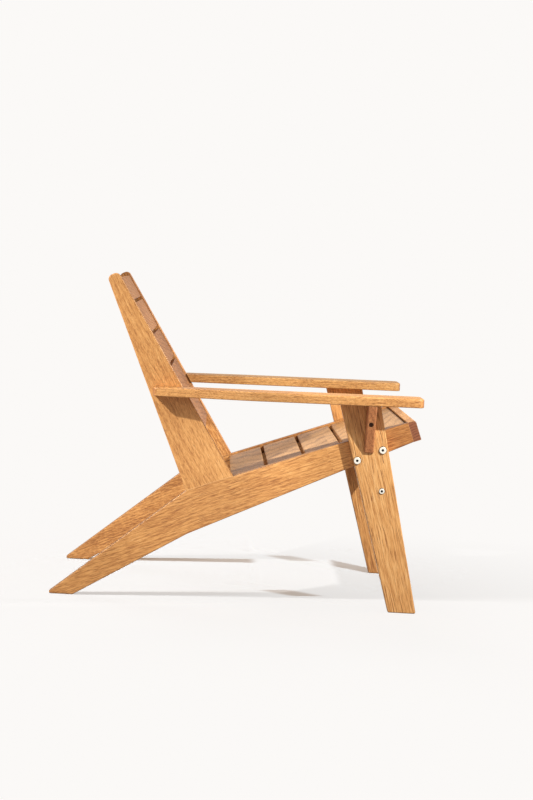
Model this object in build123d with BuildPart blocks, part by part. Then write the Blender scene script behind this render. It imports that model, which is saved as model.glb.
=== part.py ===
# Low slatted garden lounge chair in oiled hardwood, knocked down for shipping.
# Front of the chair is -Y, the sitter's right is -X, the floor is Z = 0.
from build123d import *
from math import cos, hypot, radians, sin, tan
import os

os.makedirs("parts", exist_ok=True)

# Frame boards
board = 22.0                    # thickness of rails, uprights, legs, armrests and brackets
frame_width = 580.0             # over the outer faces of the two seat rails
edge_round = 2.5                # eased edges of the frame boards
sides = {"right": -1, "left": 1}

# Seat rails, each one bent board from the apron back to the rear foot
seat_slope = 20.2               # degrees, rail top edge, rising to the front
rear_leg_slope = 39.5           # degrees, top edge of the rear leg
knee_height = 267.0             # where the seat line turns down into the rear leg
rail_length = 560.0             # along the seat line, knee to front end
rail_front_depth = 49.0         # depth of the rail at its front end
rail_bend_depth = 101.5         # depth at the bend on the underside
rail_bend_setback = 28.0        # bend behind the knee, along the seat line
rail_bend_radius = 120.0
rear_sole_length = 64.0         # flat under the rear foot, before its corners are eased
foot_radius = 4.0               # eased corners of all four feet

# Back uprights, standing on the rails behind the seat
upright_base = 119.0            # width along the seat line
back_rake = 57.6                # degrees, front edge above the floor
overall_height = 780.0
upright_top_slope = 27.0        # degrees, the rounded end falls to the rear
upright_top_width = 28.3        # along the end, before its corners are rounded
upright_top_radius = 12.5
upright_round_share = 0.44      # most of the end's width that one corner may take

# Front legs, bolted to the outside of the rails
leg_setback = 59.3              # front edge behind the rail's front end, along the seat line
leg_front_rake = 12.95          # degrees from upright
leg_rear_rake = 16.2
leg_sole_width = 67.8

# Armrests
arm_slope = 0.72                # degrees, rising to the front
arm_gap = 34.0                  # underside above the top of the apron
arm_thickness = 22.0
arm_front_overhang = 100.2      # ahead of the leg's top
arm_outer_overhang = 43.0       # outside the leg
arm_inner_overhang = 4.0        # inside the rail
arm_tail_length = 83.0          # past the front edge of the upright
arm_tail_width = 35.0           # outside the upright at the very end
arm_taper_length = 230.0        # from the tail's end to the full width
arm_corner_radius = 14.0
arm_taper_radius = 300.0
arm_tail_radius = 8.0
arm_top_round = 4.5
arm_under_round = 2.5

# Brackets under the armrests
bracket_height = 115.0
bracket_top_depth = 42.0
bracket_bottom_depth = 4.5
bracket_offset = 11.7           # front face behind the leg's front top corner
bracket_round = 3.0

# Apron across the front of the seat
apron_thickness = 19.5
apron_top_round = 6.0
apron_round = 2.0

# Seat slats, laid from the apron back
seat_slat_count = 5
seat_slat_width = 87.0
front_slat_width = 64.0
seat_slat_gap = 8.5
apron_gap = 2.5
seat_slat_thickness = 18.0
seat_recess = 4.5               # slat tops below the rail's top edge
slat_end_gap = 0.8              # at each end, to the rails and uprights
slat_round = 2.0

# Back slats, laid from the top down
back_slat_count = 5
back_slat_width = 81.5
top_slat_width = 63.0
back_slat_gap = 9.0
back_slat_thickness = 15.0
back_recess = 4.5               # slat faces behind the upright's front edge
back_top_drop = 9.0             # top slat's edge below the top of the upright

# Cleats that carry the slats
seat_cleat_height = 18.0
seat_cleat_width = 22.0
back_cleat_depth = 10.0
back_cleat_width = 20.0
back_cleat_drop = 22.0          # below the top slat's upper edge
cleat_round = 1.5

# Stretcher between the front legs
stretcher_height = 293.5
stretcher_inset = 32.0          # from the leg's front edge
stretcher_depth = 50.0
stretcher_thickness = 20.0

# Wood screws, all of one gauge with countersunk cross heads
screw_radius = 2.0
screw_head_radius = 4.0
screw_tip = 5.0
recess_length = 4.0
recess_width = 0.9
recess_depth = 1.6
seat_screw_bite = 12.0          # length that goes into the second piece
back_screw_bite = 9.5
cleat_screw_bite = 11.0
bracket_screw_bite = 17.0
slat_screw_inset = 14.0         # from the slat's long edges
bracket_screw_drop = 45.5       # below the armrest
bracket_screw_seat = 19.0       # wood left under the head
bracket_bore_radius = 6.0

# Dowels
large_dowel_radius = 5.0
large_dowel_bite = 30.0
upright_dowel_count = 3
dowel_radius = 4.0
dowel_chamfer = 0.8
arm_dowel_bite = 14.0           # into the armrest's thickness
leg_dowel_bite = 22.0
bracket_dowel_bite = 12.0
bracket_dowel_depth = 15.0      # axis outside the leg's face
tail_dowel_bite = 12.0          # into the armrest's tail
upright_side_bite = 15.0
tail_dowel_first = 12.0         # behind the upright's front edge
tail_dowel_spacing = 32.0
apron_dowel_bite = 13.0
rail_end_bite = 22.0
apron_dowel_edge = 14.0         # from the rail's top and bottom edges
stretcher_dowel_bite = 24.0
leg_side_bite = 12.0
stretcher_dowel_drop = 15.0     # below the bolt

# Bolts with flat heads and hexagon sockets
bolt_radius = 3.0
leg_bolt_head_radius = 8.5
leg_bolt_head_height = 4.4
leg_bolt_edge = 9.2             # rear bolt from the leg's rear edge
leg_bolt_front_edge = 13.5      # front bolt from the leg's front edge
leg_bolt_rise = 12.5            # above the rail's bottom edge
stretcher_bolt_head_radius = 6.6
stretcher_bolt_head_height = 3.2
head_bore_rim = 1.2             # ring left open round the sunk heads
head_bore_depth = 1.2
bolt_rim_round = 1.0
socket_size = 6.0
socket_depth = 2.2
insert_radius = 5.0
insert_length = 13.0
barrel_radius = 5.0
barrel_length = 14.0
barrel_setback = 34.0           # from the stretcher's end
bolt_end_gap = 1.0

# Fits
hole_gap = 0.15                 # radial, round screws, dowels, bolts and nuts
end_gap = 0.8                   # past the end of a screw or dowel

# Directions in the side view, as (y, z)
seat_angle = radians(seat_slope)
rear_angle = radians(rear_leg_slope)
rake_angle = radians(back_rake)
leg_front_angle = radians(leg_front_rake)
leg_rear_angle = radians(leg_rear_rake)
arm_angle = radians(arm_slope)
seat_dir = (-cos(seat_angle), sin(seat_angle))
seat_up = (sin(seat_angle), cos(seat_angle))
back_dir = (cos(rake_angle), sin(rake_angle))
back_front = (-sin(rake_angle), cos(rake_angle))
arm_dir = (-cos(arm_angle), sin(arm_angle))
arm_up = (sin(arm_angle), cos(arm_angle))
leg_lean = (leg_front_angle + leg_rear_angle) / 2
leg_dir = (sin(leg_lean), cos(leg_lean))
leg_across = (cos(leg_lean), -sin(leg_lean))

# Reach of the chair behind and ahead of the knee, which centres it on the origin
foot_trim = foot_radius / tan(rear_angle / 2) - foot_radius
rear_reach = knee_height / tan(rear_angle) - foot_trim
apron_top_reach = (rail_length + apron_thickness) * cos(seat_angle)
apron_top = knee_height + (rail_length + apron_thickness) * sin(seat_angle)
arm_height = apron_top + arm_gap
arm_knee_height = arm_height - apron_top_reach * tan(arm_angle)
leg_crossing = rail_length - leg_setback
leg_crossing_height = knee_height + leg_crossing * sin(seat_angle)
toe_trim = foot_radius / tan((radians(90.0) - leg_front_angle) / 2) - foot_radius
toe_reach = leg_crossing * cos(seat_angle) + leg_crossing_height * tan(leg_front_angle)
leg_top_reach = toe_reach - arm_knee_height * tan(leg_front_angle)
leg_top_reach = leg_top_reach / (1 + tan(arm_angle) * tan(leg_front_angle))
arm_reach = leg_top_reach + arm_front_overhang * cos(arm_angle) - arm_under_round * sin(arm_angle)
apron_reach = apron_top_reach + rail_front_depth * sin(seat_angle)
front_reach = max(toe_reach - toe_trim, arm_reach, apron_reach)
knee_y = (front_reach - rear_reach) / 2

# Half widths
rail_outer = frame_width / 2
rail_inner = rail_outer - board
rail_middle = rail_outer - board / 2
leg_outer = rail_outer + board
leg_middle = rail_outer + board / 2


# A point on the side view: along the seat line from the knee, and below it
def seat_point(along, below=0.0):
    y = knee_y + along * seat_dir[0] - below * seat_up[0]
    z = knee_height + along * seat_dir[1] - below * seat_up[1]
    return (y, z)


upright_foot = seat_point(upright_base)


# A point on the side view: up the upright's front edge, and behind it
def back_point(up, behind=0.0):
    y = upright_foot[0] + up * back_dir[0] - behind * back_front[0]
    z = upright_foot[1] + up * back_dir[1] - behind * back_front[1]
    return (y, z)


# Planes for sketches and fasteners; facing says which way the plane's normal looks
def across(x, point, facing):
    return Plane(origin=(x, *point), x_dir=(0, 1, 0), z_dir=(facing, 0, 0))


def seat_plane(x, along, below, facing):
    normal = (0, facing * seat_up[0], facing * seat_up[1])
    return Plane(origin=(x, *seat_point(along, below)), x_dir=(1, 0, 0), z_dir=normal)


def back_plane(x, up, behind, facing):
    normal = (0, facing * back_front[0], facing * back_front[1])
    return Plane(origin=(x, *back_point(up, behind)), x_dir=(1, 0, 0), z_dir=normal)


def turned(plane):
    return Plane(origin=plane.origin, x_dir=plane.x_dir, z_dir=-plane.z_dir)


def crossing(p, p_dir, q, q_dir):
    det = p_dir[0] * q_dir[1] - p_dir[1] * q_dir[0]
    step = ((q[0] - p[0]) * q_dir[1] - (q[1] - p[1]) * q_dir[0]) / det
    return (p[0] + step * p_dir[0], p[1] + step * p_dir[1])


# Corners of the side frame
foot_tip = (knee_y + knee_height / tan(rear_angle), 0.0)
foot_front = (foot_tip[0] - rear_sole_length, 0.0)
knee = seat_point(0.0)
rail_top = seat_point(rail_length)
rail_bottom = seat_point(rail_length, rail_front_depth)
rail_bend = seat_point(-rail_bend_setback, rail_bend_depth)

# The rounded front corner of the upright's end is its highest place
top_radius = min(upright_top_radius, upright_round_share * upright_top_width)
top_angle = radians(upright_top_slope)
top_dir = (cos(top_angle), -sin(top_angle))
round_rise = (overall_height - top_radius - upright_foot[1] + top_radius * cos(rake_angle)) / sin(rake_angle)
round_centre = back_point(round_rise, top_radius)
end_touch = (round_centre[0] + top_radius * sin(top_angle), round_centre[1] + top_radius * cos(top_angle))
top_front = crossing(upright_foot, back_dir, end_touch, top_dir)
top_back = (top_front[0] + upright_top_width * top_dir[0], top_front[1] + upright_top_width * top_dir[1])

leg_toe = (knee_y - toe_reach, 0.0)
leg_heel = (leg_toe[0] + leg_sole_width, 0.0)
front_edge_dir = (sin(leg_front_angle), cos(leg_front_angle))
rear_edge_dir = (sin(leg_rear_angle), cos(leg_rear_angle))
arm_base = (knee_y - apron_top_reach, arm_height)
leg_top_front = crossing(leg_toe, front_edge_dir, arm_base, arm_dir)
leg_top_rear = crossing(leg_heel, rear_edge_dir, arm_base, arm_dir)
leg_top_width = (leg_top_rear[0] - leg_top_front[0]) / cos(arm_angle)


# A point on the side view: along the armrest's underside behind the leg's front edge, and above it
def arm_point(behind, above=0.0):
    y = leg_top_front[0] - behind * arm_dir[0] + above * arm_up[0]
    z = leg_top_front[1] - behind * arm_dir[1] + above * arm_up[1]
    return (y, z)


def arm_plane(x, behind):
    return Plane(origin=(x, *arm_point(behind)), x_dir=(1, 0, 0), z_dir=(0, *arm_up))


# How far behind the leg's front edge the armrest meets the upright, at a height in its thickness
def arm_meets_upright(above):
    meet = crossing(upright_foot, back_dir, arm_point(0.0, above), arm_dir)
    return (meet[0] - arm_point(0.0, above)[0]) / cos(arm_angle)


# Bolt places: leg to rail along the rail's lower edge, and leg to stretcher
under_length = hypot(rail_bend[0] - rail_bottom[0], rail_bend[1] - rail_bottom[1])
under_dir = ((rail_bend[0] - rail_bottom[0]) / under_length, (rail_bend[1] - rail_bottom[1]) / under_length)
bolt_line = (rail_bottom[0] - leg_bolt_rise * under_dir[1], rail_bottom[1] + leg_bolt_rise * under_dir[0])
rear_bolt_edge = (leg_heel[0] - leg_bolt_edge / cos(leg_rear_angle), 0.0)
front_bolt_edge = (leg_toe[0] + leg_bolt_front_edge / cos(leg_front_angle), 0.0)
leg_bolt_points = [
    crossing(rear_bolt_edge, rear_edge_dir, bolt_line, under_dir),
    crossing(front_bolt_edge, front_edge_dir, bolt_line, under_dir),
]
stretcher_y = leg_toe[0] + stretcher_height * tan(leg_front_angle) + stretcher_inset / cos(leg_front_angle)
stretcher_point = (stretcher_y, stretcher_height)
stretcher_dowel_point = (
    stretcher_y - stretcher_dowel_drop * leg_dir[0],
    stretcher_height - stretcher_dowel_drop * leg_dir[1],
)

# Seat slats from rear to front: where each begins along the seat line, and its width
seat_front = rail_length - apron_gap
seat_pitch = seat_slat_width + seat_slat_gap
seat_rows = []
for index in range(seat_slat_count):
    from_front = seat_slat_count - 1 - index
    width = front_slat_width if from_front == 0 else seat_slat_width
    start = seat_front - front_slat_width - from_front * seat_pitch
    seat_rows.append((start, width))

# Back slats from the top down: lower edge up the upright, and width
back_top = (overall_height - back_top_drop - upright_foot[1] + back_recess * cos(rake_angle)) / sin(rake_angle)
back_pitch = back_slat_width + back_slat_gap
back_rows = []
for index in range(back_slat_count):
    width = top_slat_width if index == 0 else back_slat_width
    back_rows.append((back_top - top_slat_width - index * back_pitch, width))

seat_slat_length = 2 * (rail_inner - slat_end_gap)
seat_cleat_top = seat_recess + seat_slat_thickness
seat_cleat_start = seat_rows[0][0]
seat_cleat_middle = rail_inner - seat_cleat_width / 2
back_cleat_front = back_recess + back_slat_thickness
back_cleat_top = back_top - back_cleat_drop
back_cleat_bottom = back_rows[-1][0]
back_cleat_middle = rail_inner - back_cleat_width / 2

# Fastener places, grouped by joint; screw planes look out of the head
seat_slat_screw_planes = []
seat_cleat_screw_planes = {"right": [], "left": []}
for start, width in seat_rows:
    for side, sign in sides.items():
        for along in (start + slat_screw_inset, start + width - slat_screw_inset):
            seat_slat_screw_planes.append(
                seat_plane(sign * seat_cleat_middle, along, seat_cleat_top + seat_cleat_height, -1)
            )
        point = seat_point(start + width / 2, seat_cleat_top + seat_cleat_height / 2)
        face = sign * (rail_inner - seat_cleat_width)
        seat_cleat_screw_planes[side].append(across(face, point, -sign))

back_slat_screw_planes = []
back_cleat_screw_planes = {"right": [], "left": []}
for start, width in back_rows:
    upper = min(start + width, back_cleat_top)
    for side, sign in sides.items():
        for up in (start + slat_screw_inset, upper - slat_screw_inset):
            back_slat_screw_planes.append(
                back_plane(sign * back_cleat_middle, up, back_cleat_front + back_cleat_depth, -1)
            )
        point = back_point((start + upper) / 2, back_cleat_front + back_cleat_depth / 2)
        face = sign * (rail_inner - back_cleat_width)
        back_cleat_screw_planes[side].append(across(face, point, -sign))

seat_screw_length = seat_cleat_height + seat_screw_bite
back_screw_length = back_cleat_depth + back_screw_bite
seat_cleat_screw_length = seat_cleat_width + cleat_screw_bite
back_cleat_screw_length = back_cleat_width + cleat_screw_bite
bracket_screw_length = bracket_screw_seat + bracket_screw_bite

bracket_behind = bracket_offset + board / 2
bracket_y, bracket_top = arm_point(bracket_behind)
bracket_screw_point = (bracket_y, bracket_top - bracket_screw_drop)
tail_front = arm_meets_upright(arm_thickness / 2)

upright_dowel_planes = {}
arm_dowel_planes = {}
bracket_dowel_planes = {}
tail_dowel_planes = {}
apron_dowel_planes = {}
stretcher_dowel_planes = {}
leg_bolt_planes = {}
stretcher_bolt_planes = {}
bracket_screw_planes = {}
for side, sign in sides.items():
    upright_dowel_planes[side] = [
        seat_plane(sign * rail_middle, upright_base * (index + 0.5) / upright_dowel_count, 0.0, 1)
        for index in range(upright_dowel_count)
    ]
    arm_dowel_planes[side] = [
        arm_plane(sign * leg_middle, leg_top_width * (2 + step) / 4) for step in (-1, 1)
    ]
    bracket_dowel_planes[side] = [arm_plane(sign * (leg_outer + bracket_dowel_depth), bracket_behind)]
    tail_dowel_planes[side] = [
        across(
            sign * rail_outer,
            arm_point(tail_front + tail_dowel_first + step * tail_dowel_spacing, arm_thickness / 2),
            sign,
        )
        for step in (0, 1)
    ]
    apron_dowel_planes[side] = [
        Plane(
            origin=(sign * rail_middle, *seat_point(rail_length, below)),
            x_dir=(1, 0, 0),
            z_dir=(0, *seat_dir),
        )
        for below in (apron_dowel_edge, rail_front_depth - apron_dowel_edge)
    ]
    stretcher_dowel_planes[side] = [across(sign * rail_outer, stretcher_dowel_point, sign)]
    leg_bolt_planes[side] = [
        across(sign * (leg_outer - head_bore_depth), point, sign) for point in leg_bolt_points
    ]
    stretcher_bolt_planes[side] = [
        across(sign * (leg_outer - head_bore_depth), stretcher_point, sign)
    ]
    bracket_screw_planes[side] = [across(sign * (leg_outer + bracket_screw_seat), bracket_screw_point, sign)]


def both(planes):
    return planes["right"] + planes["left"]


def moved(planes, distance):
    return [plane.offset(distance) for plane in planes]


def export(part, name):
    part.label = name
    export_step(part, f"parts/{name}.step")


# Seat rails
for side, sign in sides.items():
    with BuildPart() as rail:
        with BuildSketch(Plane.YZ.offset(sign * rail_outer)) as rail_sketch:
            with BuildLine():
                Polyline(foot_tip, knee, rail_top, rail_bottom, rail_bend, foot_front, close=True)
            make_face()
            corners = rail_sketch.vertices()
            fillet(corners.sort_by_distance((*foot_tip, 0))[0], foot_radius)
            fillet(rail_sketch.vertices().sort_by_distance((*foot_front, 0))[0], foot_radius)
            fillet(rail_sketch.vertices().sort_by_distance((*rail_bend, 0))[0], rail_bend_radius)
        extrude(amount=-sign * board)
        front_end = rail.faces().sort_by(Axis.Y)[0]
        fillet(rail.faces().filter_by(Axis.X).edges() - front_end.edges(), edge_round)
        # square arrises again where the upright stands
        with BuildSketch(Plane.YZ.offset(sign * rail_outer)):
            with BuildLine():
                Polyline(
                    knee,
                    upright_foot,
                    seat_point(upright_base, edge_round),
                    seat_point(0.0, edge_round),
                    close=True,
                )
            make_face()
        extrude(amount=-sign * board)
        with Locations(*upright_dowel_planes[side]):
            Hole(large_dowel_radius + hole_gap, depth=large_dowel_bite + end_gap)
        with Locations(*apron_dowel_planes[side]):
            Hole(dowel_radius + hole_gap, depth=rail_end_bite + end_gap)
        with Locations(*moved(leg_bolt_planes[side], head_bore_depth - board)):
            Hole(insert_radius + hole_gap, depth=insert_length + end_gap)
        with Locations(*moved(seat_cleat_screw_planes[side], -seat_cleat_width)):
            Hole(screw_radius + hole_gap, depth=cleat_screw_bite + end_gap)
    export(rail.part, f"{side}_seat_rail")

# Back uprights
for side, sign in sides.items():
    with BuildPart() as upright:
        with BuildSketch(Plane.YZ.offset(sign * rail_outer)) as upright_sketch:
            with BuildLine():
                Polyline(knee, upright_foot, top_front, top_back, close=True)
            make_face()
            fillet(upright_sketch.vertices().sort_by_distance((*top_front, 0))[0], top_radius)
            fillet(upright_sketch.vertices().sort_by_distance((*top_back, 0))[0], top_radius)
        extrude(amount=-sign * board)
        foot = upright.faces().sort_by(Axis.Z)[0]
        fillet(upright.faces().filter_by(Axis.X).edges() - foot.edges(), edge_round)
        with Locations(*[turned(plane) for plane in upright_dowel_planes[side]]):
            Hole(large_dowel_radius + hole_gap, depth=large_dowel_bite + end_gap)
        with Locations(*tail_dowel_planes[side]):
            Hole(dowel_radius + hole_gap, depth=upright_side_bite + end_gap)
        with Locations(*moved(back_cleat_screw_planes[side], -back_cleat_width)):
            Hole(screw_radius + hole_gap, depth=cleat_screw_bite + end_gap)
    export(upright.part, f"{side}_back_upright")

# Front legs
for side, sign in sides.items():
    with BuildPart() as leg:
        with BuildSketch(Plane.YZ.offset(sign * leg_outer)) as leg_sketch:
            with BuildLine():
                Polyline(leg_toe, leg_heel, leg_top_rear, leg_top_front, close=True)
            make_face()
            fillet(leg_sketch.vertices().group_by(Axis.Y)[0], foot_radius)
        extrude(amount=-sign * board)
        leg_top = leg.faces().sort_by(Axis.Z)[-1]
        fillet(leg.faces().filter_by(Axis.X).edges() - leg_top.edges(), edge_round)
        with Locations(*arm_dowel_planes[side]):
            Hole(dowel_radius + hole_gap, depth=leg_dowel_bite + end_gap)
        with Locations(*moved(leg_bolt_planes[side], head_bore_depth)):
            CounterBoreHole(bolt_radius + hole_gap, leg_bolt_head_radius + head_bore_rim, head_bore_depth)
        with Locations(*moved(stretcher_bolt_planes[side], head_bore_depth)):
            CounterBoreHole(
                bolt_radius + hole_gap,
                stretcher_bolt_head_radius + head_bore_rim,
                head_bore_depth,
            )
        with Locations(*[turned(plane) for plane in stretcher_dowel_planes[side]]):
            Hole(dowel_radius + hole_gap, depth=leg_side_bite + end_gap)
        with Locations(*moved(bracket_screw_planes[side], -bracket_screw_seat)):
            Hole(screw_radius + hole_gap, depth=bracket_screw_bite + end_gap)
    export(leg.part, f"{side}_front_leg")

# Armrests, notched round the uprights, with a tapered tail outside them
arm_end = arm_meets_upright(0.0) + arm_tail_length
arm_inner = rail_inner - arm_inner_overhang
arm_outer = leg_outer + arm_outer_overhang
notch_low = back_point((arm_height - arm_thickness - upright_foot[1]) / sin(rake_angle))
notch_high = back_point((arm_height + 2 * arm_thickness - upright_foot[1]) / sin(rake_angle))
notch_end = arm_point(arm_end + arm_tail_length)[0]
for side, sign in sides.items():
    arm_points = [
        (sign * arm_inner, -arm_front_overhang),
        (sign * arm_outer, -arm_front_overhang),
        (sign * arm_outer, arm_end - arm_taper_length),
        (sign * (rail_outer + arm_tail_width), arm_end),
        (sign * arm_inner, arm_end),
    ]
    arm_radii = [arm_corner_radius, arm_corner_radius, arm_taper_radius, arm_tail_radius]
    with BuildPart() as arm:
        with BuildSketch(arm_plane(0.0, 0.0)) as arm_sketch:
            with BuildLine():
                Polyline(*arm_points, close=True)
            make_face()
            for point, radius in zip(arm_points, arm_radii):
                fillet(arm_sketch.vertices().sort_by_distance((*point, 0))[0], radius)
        extrude(amount=arm_thickness)
        fillet(arm.faces().sort_by(Axis.Z)[-1].edges(), arm_top_round)
        fillet(arm.faces().sort_by(Axis.Z)[0].edges(), arm_under_round)
        with BuildSketch(Plane.YZ.offset(sign * rail_outer)):
            with BuildLine():
                Polyline(
                    notch_low,
                    notch_high,
                    (notch_end, notch_high[1]),
                    (notch_end, notch_low[1]),
                    close=True,
                )
            make_face()
        extrude(amount=-sign * 2 * board, mode=Mode.SUBTRACT)
        with Locations(*[turned(plane) for plane in arm_dowel_planes[side]]):
            Hole(dowel_radius + hole_gap, depth=arm_dowel_bite + end_gap)
        with Locations(*[turned(plane) for plane in bracket_dowel_planes[side]]):
            Hole(dowel_radius + hole_gap, depth=bracket_dowel_bite + end_gap)
        with Locations(*[turned(plane) for plane in tail_dowel_planes[side]]):
            Hole(dowel_radius + hole_gap, depth=tail_dowel_bite + end_gap)
    export(arm.part, f"{side}_armrest")

# Brackets on the legs, under the armrests' overhang, trimmed to the armrests' slope
bracket_blank_top = bracket_top + board * tan(arm_angle)
for side, sign in sides.items():
    with BuildPart() as bracket:
        with BuildSketch(Plane.XZ.offset(-bracket_y)):
            with BuildLine():
                Polyline(
                    (sign * leg_outer, bracket_blank_top),
                    (sign * (leg_outer + bracket_top_depth), bracket_blank_top),
                    (sign * (leg_outer + bracket_bottom_depth), bracket_top - bracket_height),
                    (sign * leg_outer, bracket_top - bracket_height),
                    close=True,
                )
            make_face()
        extrude(amount=board / 2, both=True)
        outer_face = bracket.faces().sort_by(Axis.X)[-1 if sign > 0 else 0]
        long_edges = outer_face.edges().filter_by(Axis.Y, reverse=True)
        bottom_edge = outer_face.edges().sort_by(Axis.Z)[0]
        fillet(long_edges + [bottom_edge], bracket_round)
        split(bisect_by=arm_plane(0.0, 0.0), keep=Keep.BOTTOM)
        with Locations(*bracket_dowel_planes[side]):
            Hole(dowel_radius + hole_gap, depth=bracket_dowel_bite + end_gap)
        with Locations(*bracket_screw_planes[side]):
            CounterSinkHole(
                screw_radius + hole_gap,
                screw_head_radius + hole_gap,
                depth=2 * bracket_screw_seat,
                counter_sink_angle=90,
            )
        with Locations(*moved(bracket_screw_planes[side], 2 * bracket_top_depth)):
            Hole(bracket_bore_radius, depth=2 * bracket_top_depth)
    export(bracket.part, f"{side}_arm_bracket")

# Front apron, capping the rails' front ends
apron_plane = Plane(origin=(0, *rail_top), x_dir=(1, 0, 0), z_dir=(0, *seat_dir))
with BuildPart() as apron:
    with BuildSketch(apron_plane):
        Rectangle(frame_width, rail_front_depth, align=(Align.CENTER, Align.MAX))
    extrude(amount=apron_thickness)
    apron_edges = apron.edges().filter_by(Axis.X).sort_by(Axis((0, 0, 0), (0, -1, 1)))
    fillet(apron_edges[-1], apron_top_round)
    fillet(apron.edges().filter_by(Axis.X).sort_by(Axis((0, 0, 0), (0, -1, -1)))[-1], apron_round)
    with Locations(*[turned(plane) for plane in both(apron_dowel_planes)]):
        Hole(dowel_radius + hole_gap, depth=apron_dowel_bite + end_gap)
export(apron.part, "front_apron")

# Seat slats, the first at the rear
for index, (start, width) in enumerate(seat_rows):
    with BuildPart() as slat:
        with BuildSketch(seat_plane(0.0, start + width / 2, seat_recess, 1)):
            Rectangle(seat_slat_length, width)
        extrude(amount=-seat_slat_thickness)
        fillet(slat.edges().filter_by(Axis.X), slat_round)
        with Locations(*moved(seat_slat_screw_planes[4 * index:4 * index + 4], -seat_cleat_height)):
            Hole(screw_radius + hole_gap, depth=seat_screw_bite + end_gap)
    export(slat.part, f"seat_slat_{index + 1}")

# Back slats, the first at the top
for index, (start, width) in enumerate(back_rows):
    with BuildPart() as slat:
        with BuildSketch(back_plane(0.0, start + width / 2, back_recess, 1)):
            Rectangle(seat_slat_length, width)
        extrude(amount=-back_slat_thickness)
        fillet(slat.edges().filter_by(Axis.X), slat_round)
        with Locations(*moved(back_slat_screw_planes[4 * index:4 * index + 4], -back_cleat_depth)):
            Hole(screw_radius + hole_gap, depth=back_screw_bite + end_gap)
    export(slat.part, f"back_slat_{index + 1}")

# Cleats under the seat slats
for side, sign in sides.items():
    with BuildPart() as cleat:
        with BuildSketch(Plane.YZ.offset(sign * rail_inner)):
            with BuildLine():
                Polyline(
                    seat_point(seat_cleat_start, seat_cleat_top),
                    seat_point(rail_length, seat_cleat_top),
                    seat_point(rail_length, seat_cleat_top + seat_cleat_height),
                    seat_point(seat_cleat_start, seat_cleat_top + seat_cleat_height),
                    close=True,
                )
            make_face()
        extrude(amount=-sign * seat_cleat_width)
        inner_face = cleat.faces().sort_by(Axis.X)[0 if sign > 0 else -1]
        fillet(inner_face.edges().group_by(Edge.length)[-1].sort_by(Axis.Z)[0], cleat_round)
        with Locations(*[plane for plane in seat_slat_screw_planes if plane.origin.X * sign > 0]):
            CounterSinkHole(
                screw_radius + hole_gap,
                screw_head_radius + hole_gap,
                depth=2 * seat_cleat_height,
                counter_sink_angle=90,
            )
        with Locations(*seat_cleat_screw_planes[side]):
            CounterSinkHole(
                screw_radius + hole_gap,
                screw_head_radius + hole_gap,
                depth=2 * seat_cleat_width,
                counter_sink_angle=90,
            )
    export(cleat.part, f"{side}_seat_cleat")

# Cleats behind the back slats
for side, sign in sides.items():
    with BuildPart() as cleat:
        with BuildSketch(Plane.YZ.offset(sign * rail_inner)):
            with BuildLine():
                Polyline(
                    back_point(back_cleat_bottom, back_cleat_front),
                    back_point(back_cleat_top, back_cleat_front),
                    back_point(back_cleat_top, back_cleat_front + back_cleat_depth),
                    back_point(back_cleat_bottom, back_cleat_front + back_cleat_depth),
                    close=True,
                )
            make_face()
        extrude(amount=-sign * back_cleat_width)
        inner_face = cleat.faces().sort_by(Axis.X)[0 if sign > 0 else -1]
        fillet(inner_face.edges().group_by(Edge.length)[-1].sort_by(Axis.Y)[-1], cleat_round)
        with Locations(*[plane for plane in back_slat_screw_planes if plane.origin.X * sign > 0]):
            CounterSinkHole(
                screw_radius + hole_gap,
                screw_head_radius + hole_gap,
                depth=2 * back_cleat_depth,
                counter_sink_angle=90,
            )
        with Locations(*back_cleat_screw_planes[side]):
            CounterSinkHole(
                screw_radius + hole_gap,
                screw_head_radius + hole_gap,
                depth=2 * back_cleat_width,
                counter_sink_angle=90,
            )
    export(cleat.part, f"{side}_back_cleat")

# Stretcher between the legs, square to their lean
stretcher_plane = Plane(
    origin=(-rail_outer, *stretcher_point),
    x_dir=(0, *leg_across),
    z_dir=(1, 0, 0),
)
barrel_planes = {
    side: Plane(
        origin=(sign * (rail_outer - barrel_setback), *stretcher_point),
        x_dir=(1, 0, 0),
        z_dir=(0, *leg_across),
    )
    for side, sign in sides.items()
}
with BuildPart() as stretcher:
    with BuildSketch(stretcher_plane):
        Rectangle(stretcher_thickness, stretcher_depth)
    extrude(amount=frame_width)
    fillet(stretcher.edges().filter_by(Axis.X), edge_round)
    for side in sides:
        with Locations(*moved(stretcher_bolt_planes[side], head_bore_depth - board)):
            Hole(bolt_radius + hole_gap, depth=barrel_setback + barrel_radius + bolt_end_gap)
        with Locations(barrel_planes[side].offset(stretcher_thickness / 2)):
            Hole(barrel_radius + hole_gap, depth=(stretcher_thickness + barrel_length) / 2 + hole_gap)
        with Locations(*stretcher_dowel_planes[side]):
            Hole(dowel_radius + hole_gap, depth=stretcher_dowel_bite + end_gap)
export(stretcher.part, "front_stretcher")


# Wood screw with its head's face at the origin, pointing down
def wood_screw(length):
    with BuildPart() as screw:
        with BuildSketch(Plane.XZ):
            with BuildLine():
                Polyline(
                    (0, 0),
                    (screw_head_radius, 0),
                    (screw_radius, screw_radius - screw_head_radius),
                    (screw_radius, screw_tip - length),
                    (0, -length),
                    close=True,
                )
            make_face()
        revolve(axis=Axis.Z)
        with BuildSketch():
            Rectangle(recess_length, recess_width)
            Rectangle(recess_width, recess_length)
        extrude(amount=-recess_depth, mode=Mode.SUBTRACT)
    return screw.part


# Dowel standing across a joint at the origin, with its two lengths up and down
def dowel(radius, up, down):
    with BuildPart() as pin:
        with BuildSketch(Plane.XY.offset(-down)):
            Circle(radius)
        extrude(amount=up + down)
        chamfer(pin.edges(), dowel_chamfer)
    return pin.part


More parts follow.
